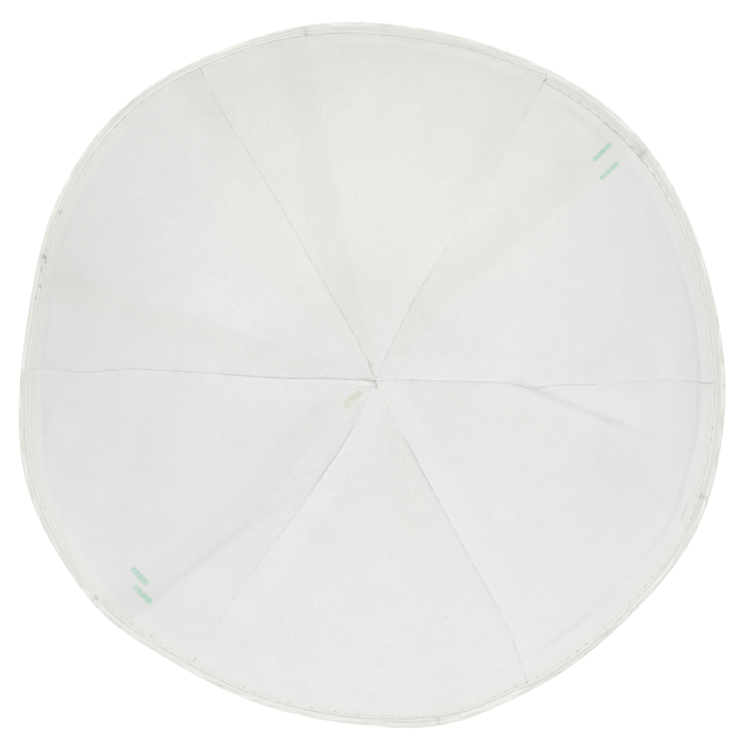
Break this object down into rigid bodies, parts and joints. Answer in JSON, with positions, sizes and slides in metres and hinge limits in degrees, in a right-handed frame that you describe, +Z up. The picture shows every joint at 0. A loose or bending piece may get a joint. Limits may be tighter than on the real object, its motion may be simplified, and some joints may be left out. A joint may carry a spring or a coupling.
{
  "type": "zucchetto",
  "caption": "White gored zucchetto skullcap with a turned hem and a sewn-in fabric lining, lying on its crown with the hollow up.",
  "frame": {"origin": "Under the middle of the cap, on the surface that its crown lies on.", "axes": "+Z up, out of the hollow; +X and +Y across the rim, with the lining's long cross seam along X."},
  "size_m": [0.1788, 0.1786, 0.0546],
  "materials": {
    "outer_cloth": "fine smooth cloth, ivory white, soft sheen",
    "lining_cloth": "plain-woven lining, white, matt"
  },
  "bodies": {
    "root": {"outer_gore_1": "outer_cloth", "outer_gore_2": "outer_cloth", "outer_gore_3": "outer_cloth", "outer_gore_4": "outer_cloth", "outer_gore_5": "outer_cloth", "outer_gore_6": "outer_cloth", "lining_gore_1": "lining_cloth", "lining_gore_2": "lining_cloth", "lining_gore_3": "lining_cloth", "lining_gore_4": "lining_cloth", "lining_gore_5": "lining_cloth", "lining_gore_6": "lining_cloth"}
  },
  "joints": []
}
